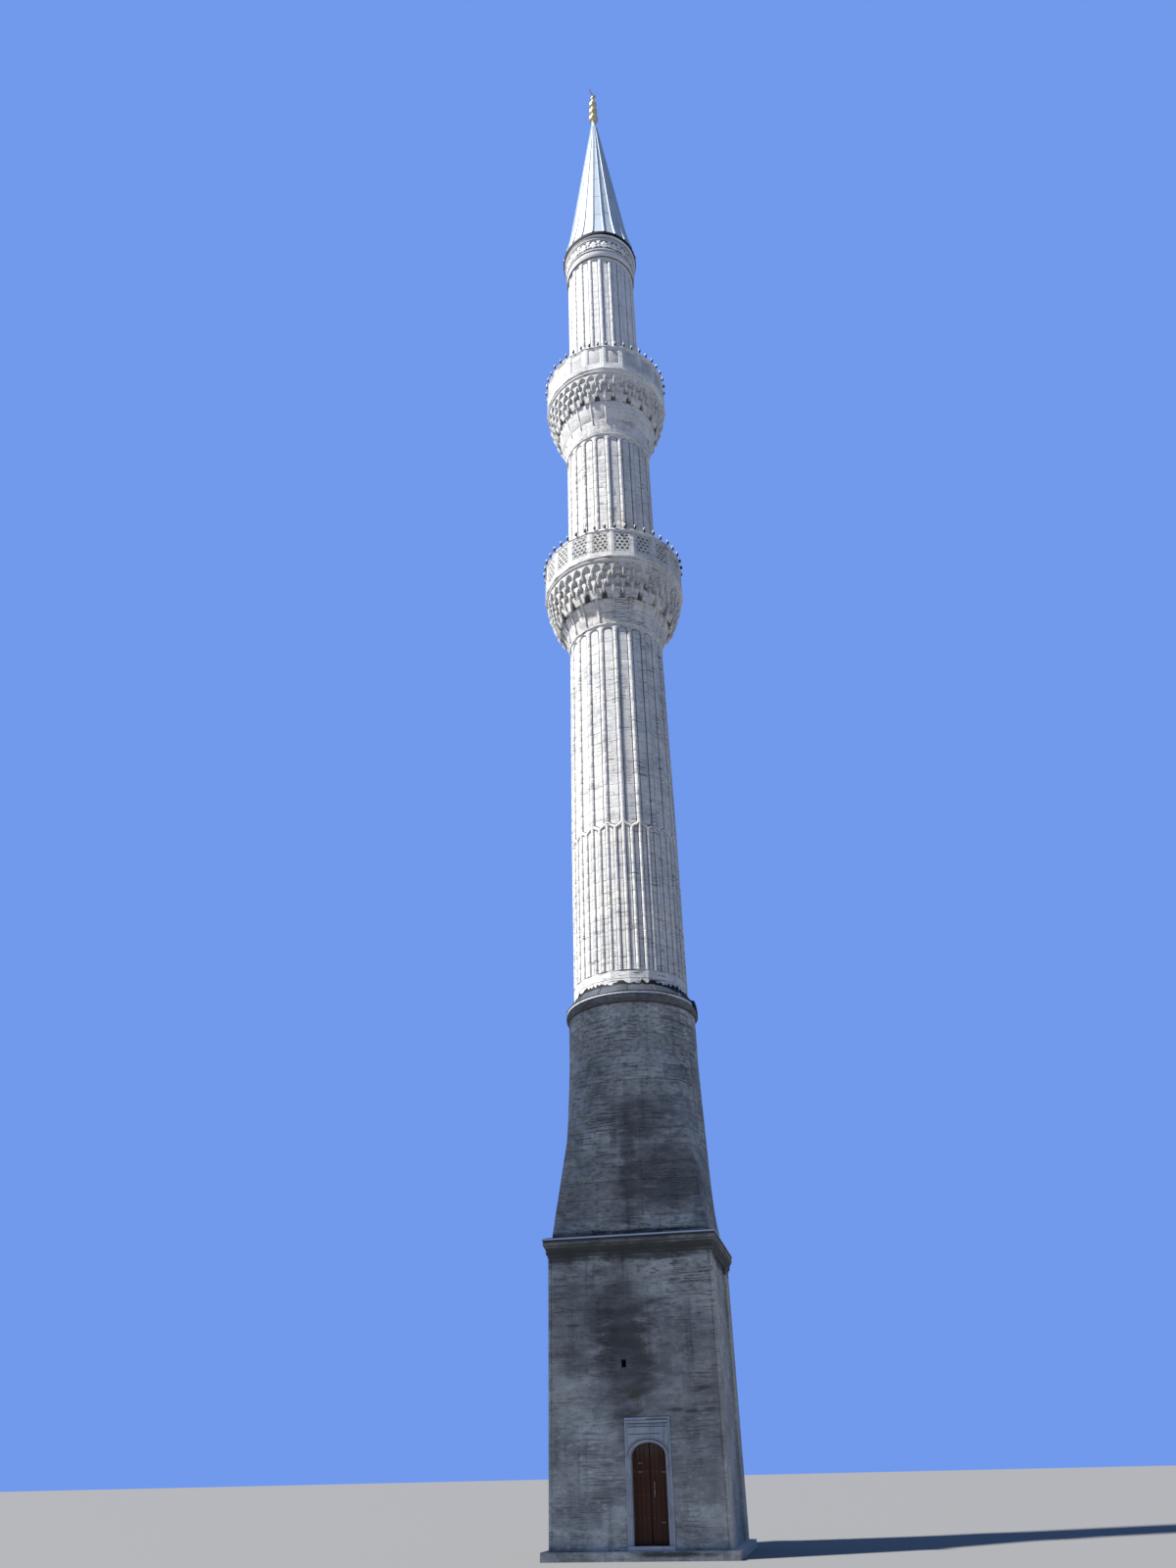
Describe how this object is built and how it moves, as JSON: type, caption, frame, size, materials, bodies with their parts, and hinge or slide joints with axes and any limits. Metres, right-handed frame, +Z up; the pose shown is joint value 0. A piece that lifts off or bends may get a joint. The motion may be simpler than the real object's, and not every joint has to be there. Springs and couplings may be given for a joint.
{
  "type": "half-size scale model of a stone minaret with balconies",
  "caption": "Half-size model of a stone minaret: square base with a door, ribbed round shaft, corbelled balconies, lead cone cap and gilt crescent finial.",
  "frame": {"origin": "middle of the flat underside of the plinth, on the tower axis", "axes": "+Z up the tower, -Y out of the face with the door, +X to the right of that face"},
  "size_m": [2.3448, 2.3448, 30.256],
  "materials": {
    "shaft_stone": "dressed pale limestone, matt",
    "base_stone": "weathered grey limestone with dark water stains, matt",
    "marble": "worn blue-grey marble, honed",
    "door_wood": "dark brown stained boards, satin",
    "iron": "old wrought iron, dull",
    "lead": "pale blue-grey sheet lead, satin",
    "dark_lead": "dark oxidised lead edge, matt",
    "gilt": "gilded copper, bright"
  },
  "bodies": {
    "masonry": {"plinth_course": "base_stone", "chamber_floor": "base_stone", "front_wall_left": "base_stone", "front_wall_right": "base_stone", "front_wall_over_door": "base_stone", "side_wall_left": "base_stone", "side_wall_right": "base_stone", "back_wall": "base_stone", "door_lintel": "base_stone", "door_surround": "marble", "door_threshold": "marble", "base_cornice": "base_stone", "transition": "base_stone", "shaft_ring": "base_stone", "ring_flashing": "dark_lead", "shaft_foot": "shaft_stone", "lower_shaft_close_ribs": "shaft_stone", "lower_shaft": "shaft_stone", "carved_band": "shaft_stone", "eave_cornice": "shaft_stone", "eave_rim": "dark_lead", "cap": "lead", "finial_collar": "lead", "finial_large_jar": "gilt", "finial_middle_jar": "gilt", "finial_small_jar": "gilt", "finial_crescent": "gilt", "middle_shaft": "shaft_stone", "upper_shaft": "shaft_stone", "lower_corbel_bell": "shaft_stone", "lower_corbel_course_1": "shaft_stone", "lower_corbel_course_2": "shaft_stone", "lower_balcony_floor": "shaft_stone", "lower_parapet": "shaft_stone", "lower_coping": "shaft_stone", "lower_balcony_door": "door_wood", "upper_corbel_bell": "shaft_stone", "upper_corbel_course_1": "shaft_stone", "upper_corbel_course_2": "shaft_stone", "upper_balcony_floor": "shaft_stone", "upper_parapet": "shaft_stone", "upper_coping": "shaft_stone", "upper_balcony_door": "door_wood"},
    "left_leaf": {"door_leaf_left": "door_wood"},
    "right_leaf": {"door_leaf_right": "door_wood", "door_pull": "iron"}
  },
  "joints": [
    {"name": "left_leaf_hinge", "type": "hinge", "parent": "masonry", "child": "left_leaf", "pos_m": [-0.06, -0.855, 0.13], "axis": [0, 0, 1], "range_deg": [0, 90]},
    {"name": "right_leaf_hinge", "type": "hinge", "parent": "masonry", "child": "right_leaf", "pos_m": [0.32, -0.855, 0.13], "axis": [0, 0, -1], "range_deg": [0, 90]}
  ]
}
